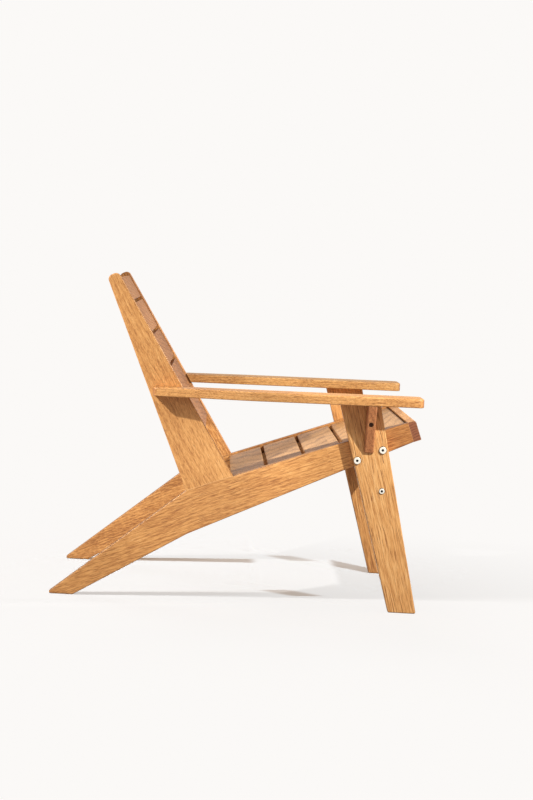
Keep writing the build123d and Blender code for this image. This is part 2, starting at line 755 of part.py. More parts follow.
# Bolt with its head's underside at the origin, pointing down
def flat_bolt(head_radius, head_height, length):
    with BuildPart() as bolt:
        with BuildSketch():
            Circle(head_radius)
        extrude(amount=head_height)
        fillet(bolt.edges().sort_by(Axis.Z)[-1], bolt_rim_round)
        with BuildSketch():
            Circle(bolt_radius)
        extrude(amount=-length)
        chamfer(bolt.edges().sort_by(Axis.Z)[0], bolt_end_gap)
        with BuildSketch(Plane.XY.offset(head_height)):
            RegularPolygon(socket_size / 2, 6, major_radius=False)
        extrude(amount=-socket_depth, mode=Mode.SUBTRACT)
    return bolt.part


def insert_nut():
    with BuildPart() as nut:
        with BuildSketch():
            Circle(insert_radius)
            Circle(bolt_radius + hole_gap, mode=Mode.SUBTRACT)
        extrude(amount=-insert_length)
    return nut.part


# Barrel nut along Z, tapped across along X
def barrel_nut():
    with BuildPart() as nut:
        with BuildSketch():
            Circle(barrel_radius)
        extrude(amount=barrel_length / 2, both=True)
        with BuildSketch(Plane.YZ):
            Circle(bolt_radius + hole_gap)
        extrude(amount=2 * barrel_radius, both=True, mode=Mode.SUBTRACT)
    return nut.part


def group(piece, planes, name):
    with BuildPart() as pieces:
        with Locations(*planes):
            add(piece)
    export(pieces.part, name)


# Screws
group(wood_screw(seat_screw_length), seat_slat_screw_planes, "seat_slat_screws")
group(wood_screw(back_screw_length), back_slat_screw_planes, "back_slat_screws")
group(wood_screw(seat_cleat_screw_length), both(seat_cleat_screw_planes), "seat_cleat_screws")
group(wood_screw(back_cleat_screw_length), both(back_cleat_screw_planes), "back_cleat_screws")
group(wood_screw(bracket_screw_length), both(bracket_screw_planes), "bracket_screws")

# Dowels
group(dowel(large_dowel_radius, large_dowel_bite, large_dowel_bite), both(upright_dowel_planes), "upright_dowels")
group(dowel(dowel_radius, arm_dowel_bite, leg_dowel_bite), both(arm_dowel_planes), "arm_leg_dowels")
group(dowel(dowel_radius, bracket_dowel_bite, bracket_dowel_bite), both(bracket_dowel_planes), "bracket_dowels")
group(dowel(dowel_radius, tail_dowel_bite, upright_side_bite), both(tail_dowel_planes), "arm_back_dowels")
group(dowel(dowel_radius, apron_dowel_bite, rail_end_bite), both(apron_dowel_planes), "apron_dowels")
group(dowel(dowel_radius, leg_side_bite, stretcher_dowel_bite), both(stretcher_dowel_planes), "stretcher_dowels")

# Bolts and nuts
leg_bolt_length = board - head_bore_depth + insert_length - bolt_end_gap
stretcher_bolt_length = board - head_bore_depth + barrel_setback + barrel_radius
leg_bolt = flat_bolt(leg_bolt_head_radius, leg_bolt_head_height, leg_bolt_length)
stretcher_bolt = flat_bolt(stretcher_bolt_head_radius, stretcher_bolt_head_height, stretcher_bolt_length)
group(leg_bolt, both(leg_bolt_planes), "leg_bolts")
group(insert_nut(), moved(both(leg_bolt_planes), head_bore_depth - board), "leg_insert_nuts")
group(stretcher_bolt, both(stretcher_bolt_planes), "stretcher_bolts")
group(barrel_nut(), list(barrel_planes.values()), "stretcher_barrel_nuts")
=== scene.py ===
from math import cos, pi, radians, sin

import bpy
from mathutils import Matrix, Vector


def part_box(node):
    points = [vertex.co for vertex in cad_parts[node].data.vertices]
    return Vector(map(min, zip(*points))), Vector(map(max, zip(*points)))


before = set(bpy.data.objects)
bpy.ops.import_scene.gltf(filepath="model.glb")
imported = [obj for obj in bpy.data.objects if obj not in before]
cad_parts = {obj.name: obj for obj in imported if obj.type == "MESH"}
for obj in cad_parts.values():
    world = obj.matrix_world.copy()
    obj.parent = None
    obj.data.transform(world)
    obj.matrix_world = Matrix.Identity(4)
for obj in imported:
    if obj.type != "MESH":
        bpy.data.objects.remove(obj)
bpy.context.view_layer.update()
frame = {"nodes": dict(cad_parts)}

scene = bpy.context.scene
scene.view_settings.view_transform = "Standard"
print("chair: frame loaded with", len(frame["nodes"]), "nodes")


# small helpers for the node trees of materials, lamps and the world
class NodeBench:
    def __init__(self, owner):
        owner.use_nodes = True
        self.owner = owner
        self.tree = owner.node_tree
        self.tree.nodes.clear()

    def node(self, kind, **settings):
        made = self.tree.nodes.new(kind)
        for key, value in settings.items():
            setattr(made, key, value)
        return made

    def feed(self, socket, value):
        if isinstance(value, bpy.types.NodeSocket):
            self.tree.links.new(value, socket)
        else:
            socket.default_value = value

    def calc(self, operation, first, second=0.0, third=0.0, clamp=False):
        made = self.node("ShaderNodeMath", operation=operation, use_clamp=clamp)
        for socket, value in zip(made.inputs, (first, second, third)):
            self.feed(socket, value)
        return made.outputs[0]

    def centred(self, value):
        return self.calc("SUBTRACT", value, 0.5)

    def vector(self, operation, first, second=(0.0, 0.0, 0.0)):
        made = self.node("ShaderNodeVectorMath", operation=operation)
        self.feed(made.inputs[0], first)
        self.feed(made.inputs[1], second)
        return made.outputs["Value"] if operation in ("DOT_PRODUCT", "LENGTH") else made.outputs[0]

    def parts(self, value):
        made = self.node("ShaderNodeSeparateXYZ")
        self.feed(made.inputs[0], value)
        return made.outputs

    def spread(self, value, low, high, toLow=0.0, toHigh=1.0):
        made = self.node("ShaderNodeMapRange", interpolation_type="SMOOTHSTEP")
        for socket, number in zip(made.inputs, (value, low, high, toLow, toHigh)):
            self.feed(socket, number)
        return made.outputs[0]

    def noiseNode(self, place, stretch, detail, rough):
        made = self.node("ShaderNodeTexNoise")
        self.feed(made.inputs["Vector"], self.vector("MULTIPLY", place, stretch))
        made.inputs["Scale"].default_value = 1.0
        made.inputs["Detail"].default_value = detail
        made.inputs["Roughness"].default_value = rough
        return made

    def noise(self, place, stretch, detail=2.0, rough=0.5):
        return self.noiseNode(place, stretch, detail, rough).outputs[0]

    def drift(self, place, stretch, reach):
        made = self.noiseNode(place, stretch, detail=2.0, rough=0.5)
        wander = self.vector("SUBTRACT", made.outputs["Color"], (0.5, 0.5, 0.5))
        return self.vector("MULTIPLY", wander, (0.0, reach, reach))

    def blend(self, share, first, second, mode="MIX"):
        made = self.node("ShaderNodeMix", data_type="RGBA", blend_type=mode)
        self.feed(made.inputs[0], share)
        self.feed(made.inputs[6], first)
        self.feed(made.inputs[7], second)
        return made.outputs[2]

    def ramp(self, value, stops):
        made = self.node("ShaderNodeValToRGB")
        band = made.color_ramp
        while len(band.elements) < len(stops):
            band.elements.new(0.5)
        for element, (place, colour) in zip(band.elements, stops):
            element.position = place
            element.color = (*colour, 1.0)
        self.feed(made.inputs[0], value)
        return made.outputs[0]

    def relief(self, height, strength, depth):
        made = self.node("ShaderNodeBump")
        made.inputs["Strength"].default_value = strength
        made.inputs["Distance"].default_value = depth
        self.feed(made.inputs["Height"], height)
        return made.outputs[0]

    def surface(self, colour, gloss, normal, **constants):
        shader = self.node("ShaderNodeBsdfPrincipled")
        self.feed(shader.inputs["Base Color"], colour)
        self.feed(shader.inputs["Roughness"], gloss)
        self.feed(shader.inputs["Normal"], normal)
        for socket, value in constants.items():
            shader.inputs[socket].default_value = value
        self.feed(self.node("ShaderNodeOutputMaterial").inputs[0], shader.outputs[0])
        return self.owner


# the figure that all boards share; each stretch runs along the grain, across it and through the board
figure = {
    "staveShift": (3.0, 0.05, 0.05),
    "slowDrift": (2.6, 9.0, 9.0),
    "quickDrift": (12.0, 46.0, 46.0),
    "ringNoise": (6.0, 40.0, 40.0),
    "ringWander": 1.1,
    "lateEdge": (0.20, 0.48),
    "lateFade": (0.30, 0.62, 0.2, 1.0),
    "ribbon": (15.0, 55.0, 55.0),
    "streak": (34.0, 400.0, 400.0),
    "fineStreak": (74.0, 880.0, 880.0),
    "cloud": (4.5, 18.0, 18.0),
    "pores": (52.0, 640.0, 640.0),
    "poreEdge": (0.57, 0.67),
    "poreFade": (0.25, 0.70, 0.45, 1.0),
    "redEdge": 0.003,
    "endEdge": (0.62, 0.92),
    "endRings": -0.45,
    "endLift": 0.12,
    # arrises paler: partly rubbed wear, partly painted highlight
    "arrisRadius": 0.0035,
    "arrisEdge": (0.995, 0.86),
    "arrisFade": (0.25, 0.7, 0.35, 1.0),
    # upward faces darkened by painted shade, on boards that ask for it
    "paintedCrownShadeEdge": (0.25, 0.65),
    # painted shade in hollows, gaps and joints, found by an occlusion probe
    "paintedShadeReach": 0.007,
    "paintedShadeEdge": (0.78, 0.25),
    "paintedShadeShare": 0.7,
    "paintedShadeColour": (0.085, 0.036, 0.014),
    "samples": 6,
    "glossLift": 0.08,
    "streakGloss": -0.16,
    "poreGloss": 0.20,
    "endGloss": 0.15,
    "streakHeight": 0.5,
    "poreHeight": -0.7,
    "lateHeight": 0.25,
    "reliefDepth": 0.0006,
}


# one oiled board: growth rings round a pith, streaks, pores, glued staves, end grain, arrises paler (partly wear,
# partly painted highlight) and painted shade in hollows
def oiledTimber(name, board):
    wood = NodeBench(bpy.data.materials.new(name))
    turn = wood.node("ShaderNodeMapping")
    turn.inputs["Location"].default_value = board["shift"]
    turn.inputs["Rotation"].default_value = [radians(angle) for angle in board["grainTurn"]]
    wood.feed(turn.inputs["Vector"], wood.node("ShaderNodeTexCoord").outputs["Object"])
    flat = turn.outputs[0]
    along, across = wood.parts(flat)[:2]

    # staves glued edge to edge and finger jointed end to end
    row = wood.calc("FLOOR", wood.calc("DIVIDE", across, board["staveWidth"]))
    rowDraw = wood.node("ShaderNodeTexWhiteNoise", noise_dimensions="1D")
    wood.feed(rowDraw.inputs["W"], wood.calc("ADD", row, board["draw"]))
    run = wood.calc("ADD", wood.calc("DIVIDE", along, board["staveLength"]), rowDraw.outputs["Value"])
    cell = wood.node("ShaderNodeCombineXYZ")
    wood.feed(cell.inputs[0], row)
    wood.feed(cell.inputs[1], wood.calc("FLOOR", run))
    cell.inputs[2].default_value = board["draw"]
    stave = wood.node("ShaderNodeTexWhiteNoise", noise_dimensions="3D")
    wood.feed(stave.inputs["Vector"], cell.outputs[0])
    staveTone = wood.calc("MULTIPLY", wood.centred(stave.outputs["Value"]), board["staveTone"])

    # each stave has its own stretch of grain, slowly wandering and finely rippled
    own = wood.vector("ADD", flat, wood.vector("MULTIPLY", stave.outputs["Color"], figure["staveShift"]))
    slow = wood.drift(own, figure["slowDrift"], board["waviness"])
    quick = wood.drift(own, figure["quickDrift"], board["ripple"])
    grain = wood.vector("ADD", wood.vector("ADD", own, slow), quick)

    # growth rings round a leaning pith, each line strong in places and lost in others
    ringAlong, ringAcross, ringDeep = wood.parts(grain)
    lean = wood.calc("MULTIPLY", ringAlong, board["pithLean"])
    pith = wood.node("ShaderNodeCombineXYZ")
    wood.feed(pith.inputs[1], wood.calc("ADD", ringAcross, board["pith"][0]))
    wood.feed(pith.inputs[2], wood.calc("ADD", wood.calc("ADD", ringDeep, board["pith"][1]), lean))
    radius = wood.vector("LENGTH", pith.outputs[0])
    ringNoise = wood.noise(grain, figure["ringNoise"])
    ringCount = wood.calc("MULTIPLY", radius, board["rings"])
    ringRun = wood.calc("MULTIPLY_ADD", ringNoise, figure["ringWander"], ringCount)
    ring = wood.calc("PINGPONG", ringRun, 0.5)
    ribbon = wood.noise(grain, figure["ribbon"], detail=3.0, rough=0.55)
    lateFade = wood.spread(ribbon, *figure["lateFade"])
    lateWood = wood.calc("MULTIPLY", wood.spread(ring, *figure["lateEdge"]), lateFade)

    # streaks and pores, longer or shorter from board to board
    def dashed(stretch):
        return (stretch[0] * board["dash"], *stretch[1:])

    streak = wood.noise(grain, dashed(figure["streak"]), detail=4.0, rough=0.62)
    fineStreak = wood.noise(grain, dashed(figure["fineStreak"]), detail=3.0, rough=0.6)
    cloud = wood.noise(grain, figure["cloud"], detail=3.0, rough=0.55)
    poreField = wood.noise(grain, dashed(figure["pores"]), detail=2.0, rough=0.55)
    poreFade = wood.spread(ribbon, *figure["poreFade"])
    pores = wood.calc("MULTIPLY", wood.spread(poreField, *figure["poreEdge"]), poreFade)

    tone = board["tone"]
    for field, share in ((streak, "streaks"), (fineStreak, "fineStreaks"), (cloud, "clouds"), (ribbon, "ribbons")):
        tone = wood.calc("MULTIPLY_ADD", wood.centred(field), board[share], tone)
    tone = wood.calc("MULTIPLY_ADD", lateWood, -board["ringTone"], tone)
    tone = wood.calc("ADD", tone, staveTone, clamp=True)
    colour = wood.ramp(tone, board["colours"])
    poreShare = wood.calc("MULTIPLY", pores, board["poreShare"])
    colour = wood.blend(poreShare, colour, (*board["poreColour"], 1.0))
    if "redFrom" in board:
        start, soft = board["redFrom"], figure["redEdge"]
        redShare = wood.spread(along, start + soft, start - soft)
        colour = wood.blend(redShare, colour, (*board["redColour"], 1.0), "MULTIPLY")

    # end grain where the face looks along the board
    normal = wood.node("ShaderNodeNewGeometry").outputs["Normal"]
    facing = wood.node("ShaderNodeVectorTransform", vector_type="NORMAL", convert_from="WORLD", convert_to="OBJECT")
    wood.feed(facing.inputs[0], normal)
    turnNormal = wood.node("ShaderNodeMapping", vector_type="NORMAL")
    turnNormal.inputs["Rotation"].default_value = turn.inputs["Rotation"].default_value
    wood.feed(turnNormal.inputs["Vector"], facing.outputs[0])
    towardsEnd = wood.calc("ABSOLUTE", wood.parts(turnNormal.outputs[0])[0])
    endFace = wood.spread(towardsEnd, *figure["endEdge"])
    endLight = wood.calc("ADD", fineStreak, figure["endLift"])
    endColour = wood.ramp(wood.calc("MULTIPLY_ADD", lateWood, figure["endRings"], endLight), board["endColours"])
    colour = wood.blend(wood.calc("MULTIPLY", endFace, board["endShare"]), colour, endColour)

    # arrises paler, partly rubbed wear and partly painted highlight; hollows and joints darker with painted shade
    softNormal = wood.node("ShaderNodeBevel", samples=figure["samples"])
    softNormal.inputs["Radius"].default_value = figure["arrisRadius"]
    bend = wood.vector("DOT_PRODUCT", softNormal.outputs[0], normal)
    arrisFade = wood.spread(cloud, *figure["arrisFade"])
    arris = wood.calc("MULTIPLY", wood.spread(bend, *figure["arrisEdge"]), arrisFade)
    arrisShare = wood.calc("MULTIPLY", arris, board["arrisShare"])
    colour = wood.blend(arrisShare, colour, (*board["arrisColour"], 1.0))
    # painted shade: faces turned upwards are darkened
    if "crownShade" in board:
        crown = wood.spread(wood.parts(normal)[2], *figure["paintedCrownShadeEdge"])
        colour = wood.blend(crown, colour, (*board["crownShade"], 1.0), "MULTIPLY")
    # painted shade: darker colour where nearby surfaces close over the hollow
    hollow = wood.node("ShaderNodeAmbientOcclusion", samples=figure["samples"])
    hollow.inputs["Distance"].default_value = figure["paintedShadeReach"]
    paintedShade = wood.spread(hollow.outputs["AO"], *figure["paintedShadeEdge"])
    paintedShadeShare = wood.calc("MULTIPLY", paintedShade, figure["paintedShadeShare"])
    colour = wood.blend(paintedShadeShare, colour, (*figure["paintedShadeColour"], 1.0))

    gloss = wood.calc("MULTIPLY_ADD", streak, figure["streakGloss"], board["roughness"] + figure["glossLift"])
    gloss = wood.calc("MULTIPLY_ADD", pores, figure["poreGloss"], gloss)
    gloss = wood.calc("MULTIPLY_ADD", endFace, figure["endGloss"], gloss, clamp=True)
    height = wood.calc("MULTIPLY", streak, figure["streakHeight"])
    height = wood.calc("MULTIPLY_ADD", pores, figure["poreHeight"], height)
    height = wood.calc("MULTIPLY_ADD", lateWood, figure["lateHeight"], height)
    relief = wood.relief(height, board["relief"], figure["reliefDepth"])
    return wood.surface(colour, gloss, relief, **{"Specular IOR Level": board["sheen"]})


def dress(nodeName, material):
    node = frame["nodes"][nodeName]
    node.data.materials.clear()
    node.data.materials.append(material)


def oil(looks):
    for name, look in looks.items():
        dress(name, oiledTimber(name + "_oiled", look))


def board(base, **changes):
    return {**base, **changes}


# honey coloured hardwood that the frame is cut from
honeyTimber = {
    "colours": ((0.0, (0.22, 0.080, 0.022)), (0.30, (0.47, 0.200, 0.058)), (0.55, (0.70, 0.345, 0.108)),
                (0.80, (0.82, 0.440, 0.155)), (1.0, (0.90, 0.540, 0.220))),
    "endColours": ((0.0, (0.16, 0.050, 0.020)), (0.5, (0.33, 0.115, 0.046)), (1.0, (0.48, 0.200, 0.085))),
    "endShare": 0.75,
    "poreColour": (0.24, 0.088, 0.026),
    "poreShare": 0.70,
    # paler arrises: partly wear, partly painted highlight
    "arrisColour": (0.88, 0.540, 0.240),
    "arrisShare": 0.28,
    "tone": 0.57,
    "streaks": 1.10,
    "fineStreaks": 1.10,
    "dash": 1.3,
    "clouds": 0.55,
    "ribbons": 0.45,
    "ringTone": 0.17,
    "rings": 150.0,
    "pith": (0.06, 0.11),
    "pithLean": 0.06,
    "waviness": 0.020,
    "ripple": 0.0035,
    "staveWidth": 0.046,
    "staveLength": 0.62,
    "staveTone": 0.20,
    "roughness": 0.42,
    "sheen": 0.40,
    "relief": 0.45,
}

# which way the grain runs in each kind of board, in degrees about X and Z
lengthwise = -90.0
railGrain = (20.2, 0.0, lengthwise)
uprightGrain = (-62.5, 0.0, lengthwise)
legGrain = (-75.5, 0.0, lengthwise)
armGrain = (0.0, 0.0, lengthwise)
bracketGrain = (-90.0, 0.0, lengthwise)
backCleatGrain = (-57.6, 0.0, lengthwise)
seatSlatGrain = (20.2, 0.0, 0.0)
backSlatGrain = (-57.6, 0.0, 0.0)
stretcherGrain = (14.5, 0.0, 0.0)

# seat rails, sawn along the seat line right down to the rear feet
railTimber = board(honeyTimber, grainTurn=railGrain, staveWidth=0.21, staveLength=4.0)
oil({
    # the near rail's upward faces carry painted shade
    "right_seat_rail": board(railTimber, shift=(0.31, 0.018, 0.04), draw=3.0, dash=0.8, redFrom=-0.081,
                             redColour=(0.86, 0.77, 0.72), crownShade=(0.52, 0.50, 0.48)),
    # the far rail's lower tone is painted shade
    "left_seat_rail": board(railTimber, shift=(1.27, 0.33, 0.09), draw=8.0, tone=0.41),
})
print("chair: seat rails oiled")

# back uprights, grain up their middle line
uprightTimber = board(honeyTimber, grainTurn=uprightGrain, staveWidth=0.14, staveLength=1.3)
oil({
    # the near upright's arrises are paler still: a painted highlight along its edges
    "right_back_upright": board(uprightTimber, shift=(0.8, 0.11, 0.02), draw=5.0, streaks=0.85, poreShare=0.5,
                                arrisShare=0.7),
    # the far upright's lower tone is painted shade
    "left_back_upright": board(uprightTimber, shift=(2.1, 0.27, 0.06), draw=6.0, tone=0.38),
})
print("chair: uprights oiled")

# front legs
legTimber = board(honeyTimber, grainTurn=legGrain, staveWidth=0.052, staveLength=1.2, dash=0.4)
oil({
    "right_front_leg": board(legTimber, shift=(1.6, 0.24, 0.03), draw=11.0, tone=0.70, streaks=1.8, fineStreaks=1.6,
                             poreShare=0.9),
    "left_front_leg": board(legTimber, shift=(0.4, 0.41, 0.07), draw=14.0, streaks=1.5, fineStreaks=1.2,
                            poreShare=0.85),
})
print("chair: front legs oiled")

# armrests, one of a yellower board
yellowColours = ((0.0, (0.21, 0.084, 0.024)), (0.30, (0.45, 0.210, 0.064)), (0.55, (0.67, 0.365, 0.120)),
                 (0.80, (0.79, 0.465, 0.170)), (1.0, (0.88, 0.565, 0.240)))
armTimber = board(honeyTimber, grainTurn=armGrain, staveWidth=0.047, staveLength=0.38, dash=2.6, ribbons=0.30)
oil({
    "right_armrest": board(armTimber, shift=(0.72, 0.05, 0.20), draw=17.0, tone=0.50),
    "left_armrest": board(armTimber, shift=(1.94, 0.31, 0.25), draw=21.0, tone=0.60, colours=yellowColours),
})
print("chair: armrests oiled")

# arm brackets, of a darker red stick
redColours = ((0.0, (0.17, 0.052, 0.018)), (0.30, (0.36, 0.125, 0.042)), (0.55, (0.56, 0.215, 0.075)),
              (0.80, (0.68, 0.290, 0.105)), (1.0, (0.78, 0.380, 0.150)))
bracketTimber = board(honeyTimber, grainTurn=bracketGrain, staveWidth=0.2, staveLength=2.0, colours=redColours)
oil({
    "right_arm_bracket": board(bracketTimber, shift=(0.2, 0.66, 0.1), draw=23.0),
    "left_arm_bracket": board(bracketTimber, shift=(0.9, 0.43, 0.2), draw=25.0),
})
print("chair: brackets oiled")

# slats, paler and rosier, each with its own figure
slatTimber = board(
    honeyTimber,
    colours=((0.0, (0.17, 0.075, 0.030)), (0.30, (0.34, 0.170, 0.068)), (0.55, (0.50, 0.280, 0.116)),
             (0.80, (0.66, 0.370, 0.155)), (1.0, (0.78, 0.460, 0.205))),
    poreColour=(0.20, 0.090, 0.036),
    arrisColour=(0.70, 0.42, 0.19),
    streaks=0.65,
    fineStreaks=0.6,
    clouds=0.50,
    ringTone=0.34,
    rings=90.0,
    pithLean=0.12,
    staveWidth=0.4,
    staveLength=4.0,
    roughness=0.40,
)
backColours = ((0.0, (0.20, 0.075, 0.026)), (0.30, (0.40, 0.168, 0.060)), (0.55, (0.58, 0.270, 0.102)),
               (0.80, (0.78, 0.365, 0.142)), (1.0, (0.88, 0.450, 0.185)))
slatRows = {
    "seat_slat": {"timber": board(slatTimber, grainTurn=seatSlatGrain), "tones": (0.66, 0.66, 0.66, 0.68, 0.70),
                  "firstShift": 0.7, "shiftStep": (1.31, 0.17, 0.03), "firstDraw": 31.0, "firstPith": 0.02,
                  "pithStep": 0.03, "pithDepth": 0.07},
    # the back slats' tones step down from the top slat to the lowest: painted light above, painted shade below
    "back_slat": {"timber": board(slatTimber, grainTurn=backSlatGrain, colours=backColours, ringTone=0.25),
                  "tones": (0.90, 0.74, 0.62, 0.54, 0.46), "firstShift": 0.4, "shiftStep": (1.17, 0.13, 0.05),
                  "firstDraw": 41.0, "firstPith": 0.0, "pithStep": 0.03, "pithDepth": 0.09},
}
for kind, row in slatRows.items():
    for index, tone in enumerate(row["tones"]):
        lengthShift, widthShift, depthShift = (step * index for step in row["shiftStep"])
        pithPlace = row["firstPith"] + row["pithStep"] * index
        oil({f"{kind}_{index + 1}": board(row["timber"], tone=tone, draw=row["firstDraw"] + index,
                                          shift=(row["firstShift"] + lengthShift, widthShift, depthShift),
                                          pith=(pithPlace, row["pithDepth"]))})
print("chair: slats oiled")

# apron, stretcher and cleats
apronEnds = ((0.0, (0.11, 0.034, 0.014)), (0.5, (0.25, 0.085, 0.036)), (1.0, (0.38, 0.150, 0.066)))
oil({
    "front_apron": board(honeyTimber, grainTurn=seatSlatGrain, shift=(0.3, 0.5, 0.1), draw=51.0, endShare=1.0,
                         endColours=apronEnds, staveWidth=0.3, staveLength=4.0),
    "front_stretcher": board(slatTimber, grainTurn=stretcherGrain, shift=(1.1, 0.8, 0.3), draw=53.0),
    "right_seat_cleat": board(slatTimber, grainTurn=railGrain, shift=(0.6, 0.9, 0.2), draw=55.0),
    "left_seat_cleat": board(slatTimber, grainTurn=railGrain, shift=(1.9, 0.2, 0.5), draw=56.0),
    "right_back_cleat": board(slatTimber, tone=0.3, grainTurn=backCleatGrain, shift=(0.9, 0.6, 0.4), draw=57.0),
    "left_back_cleat": board(slatTimber, tone=0.3, grainTurn=backCleatGrain, shift=(2.4, 0.1, 0.6), draw=58.0),
})
print("chair: apron, stretcher and cleats oiled")

# dowels of plain beech
beechColours = ((0.0, (0.46, 0.28, 0.12)), (0.5, (0.66, 0.46, 0.25)), (0.8, (0.74, 0.55, 0.33)),
                (1.0, (0.82, 0.64, 0.42)))
dowelTimber = board(honeyTimber, colours=beechColours, staveWidth=0.5, staveLength=5.0, draw=61.0,
                    shift=(0.0, 0.0, 0.0), grainTurn=(0.0, 0.0, 0.0))
dowelStick = oiledTimber("dowel_beech", dowelTimber)
dowels = ("upright_dowels", "arm_leg_dowels", "bracket_dowels", "arm_back_dowels", "apron_dowels", "stretcher_dowels")
for name in dowels:
    dress(name, dowelStick)

lathe = {
    "fleck": (700.0, 700.0, 700.0),
    "fleckEdge": (0.35, 0.75),
    "scratch": (400.0, 2600.0, 240.0),
    "scratchGloss": 0.22,
    # reach and edges of the painted shade in sockets and hollows
    "hollowReach": 0.006,
    "hollowEdge": (0.86, 0.52),
    "sunkEdge": (0.0007, 0.0016),
    "samples": 8,
    "relief": 0.12,
    "reliefDepth": 0.0002,
}


# bright turned steel with fine scratches; painted shade darkens the sockets and hollows, and on bolt heads everything
# below the head's crown
def turnedSteel(name, look, crown):
    steel = NodeBench(bpy.data.materials.new(name))
    spot = steel.node("ShaderNodeTexCoord").outputs["Object"]
    fleck = steel.noise(spot, lathe["fleck"], detail=3.0, rough=0.6)
    scratch = steel.noise(spot, lathe["scratch"], detail=3.0, rough=0.6)
    hollow = steel.node("ShaderNodeAmbientOcclusion", samples=lathe["samples"])
    hollow.inputs["Distance"].default_value = lathe["hollowReach"]
    dark = steel.spread(hollow.outputs["AO"], *lathe["hollowEdge"])
    if crown:
        sunk = steel.calc("SUBTRACT", crown, steel.calc("ABSOLUTE", steel.parts(spot)[0]))
        dark = steel.calc("MAXIMUM", dark, steel.spread(sunk, *lathe["sunkEdge"]))
    dullShare = steel.spread(fleck, *lathe["fleckEdge"])
    colour = steel.blend(dullShare, (*look["bright"], 1.0), (*look["dull"], 1.0))
    colour = steel.blend(dark, colour, (*look["socket"], 1.0))
    gloss = steel.calc("MULTIPLY_ADD", scratch, lathe["scratchGloss"], look["roughness"], clamp=True)
    relief = steel.relief(scratch, lathe["relief"], lathe["reliefDepth"])
    return steel.surface(colour, gloss, relief, Metallic=look["metallic"])


# socket colours are painted shade; the bolts' ivory white is partly their finish and partly painted reflection of the
# white studio
boltSteel = {"bright": (0.97, 0.95, 0.84), "dull": (0.91, 0.88, 0.74), "socket": (0.012, 0.009, 0.007),
             "roughness": 0.24, "metallic": 0.12}
zincSteel = {"bright": (0.70, 0.70, 0.66), "dull": (0.52, 0.52, 0.50), "socket": (0.03, 0.03, 0.03),
             "roughness": 0.34, "metallic": 0.9}
# bracket screws painted dark: painted shade down in their bores
boreShadeSteel = {"bright": (0.17, 0.080, 0.040), "dull": (0.10, 0.046, 0.024), "socket": (0.010, 0.006, 0.004),
              "roughness": 0.45, "metallic": 0.4}
fasteners = {
    "leg_bolt_steel": (boltSteel, ("leg_bolts",)),
    "stretcher_bolt_steel": (boltSteel, ("stretcher_bolts",)),
    "zinc_steel": (zincSteel, ("leg_insert_nuts", "stretcher_barrel_nuts", "seat_slat_screws", "back_slat_screws",
                               "seat_cleat_screws", "back_cleat_screws")),
    "bore_shade_steel": (boreShadeSteel, ("bracket_screws",)),
}
for finish, (look, names) in fasteners.items():
    metal = turnedSteel(finish, look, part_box(names[0])[1][0] if look is boltSteel else None)
    for name in names:
        dress(name, metal)
print("chair: fasteners finished")

# pale floor, painted below once the lamps stand
studio = {"floorRadius": 40.0, "floorSides": 96, "paper": (0.965, 0.947, 0.930), "bounce": 0.42, "shadowDepth": 0.28,
          "fill": 0.36, "fillTint": (1.0, 0.86, 0.82)}
bpy.ops.object.select_all(action="DESELECT")
bpy.ops.mesh.primitive_circle_add(vertices=studio["floorSides"], radius=studio["floorRadius"], fill_type="NGON",
                                  location=(0.0, 0.0, 0.0))
floor = bpy.context.active_object
floor.name = "studioFloor"
lightable = {**frame["nodes"], "studioFloor": floor}


# a flag shades a lamp on one side of the plane through the lamp and the points high and low
def flag(high, low, litSide, softness, leak=0.0):
    return {"high": high, "low": low, "litSide": litSide, "softness": softness, "leak": leak}


# a lamp towards each end of the chair, on the camera's side, each with a flag that keeps it off the other end,
# small ones for the rail, for the uprights' front edges and for the floor's shadows, and a soft one from behind
behind = (-1.164, 1.481, 1.682)
ahead = (-1.262, -1.383, 1.818)
white = (1.0, 1.0, 1.0)
bulbRadius = 0.03
rearFlag = flag((-0.355, -0.12, 0.51), (-0.29, -0.15, 0.28), (-0.29, 0.20, 0.20), 0.022)
frontFlag = flag((-0.355, -0.08, 0.51), (-0.29, -0.05, 0.28), (-0.29, -0.40, 0.40), 0.022)
legFlag = flag((-0.29, -0.335, 0.46), (-0.29, -0.366, 0.34), (-0.29, -0.20, 0.30), 0.010, leak=0.80)
farBandFlag = flag((0.20, -0.064, 0.0), (0.50, -0.064, 0.0), (0.28, 0.30, 0.0), 0.005)
nearBandFlag = flag((-0.37, -0.045, 0.0), (-0.21, -0.045, 0.0), (-0.29, 0.30, 0.0), 0.030)
nearDash = (-0.105, -0.155, 0.0)
nearDashFlags = (flag((-0.0953, -0.0891, 0.0), (-0.1318, -0.1341, 0.0), nearDash, 0.004),
                 flag((-0.0679, -0.1618, 0.0), (-0.1260, -0.2291, 0.0), nearDash, 0.004))
farDash = (0.475, -0.185, 0.0)
farDashFlags = (flag((0.4913, -0.1228, 0.0), (0.4444, -0.1635, 0.0), farDash, 0.004),
                flag((0.5191, -0.1853, 0.0), (0.4459, -0.2573, 0.0), farDash, 0.004))
footFlag = flag((0.0, -0.285, 0.0), (0.5, -0.285, 0.0), (0.3, -0.40, 0.0), 0.005)
floorBeam = {"only": ("studioFloor",), "tint": (0.74, 0.89, 1.0), "bulb": 0.0005}
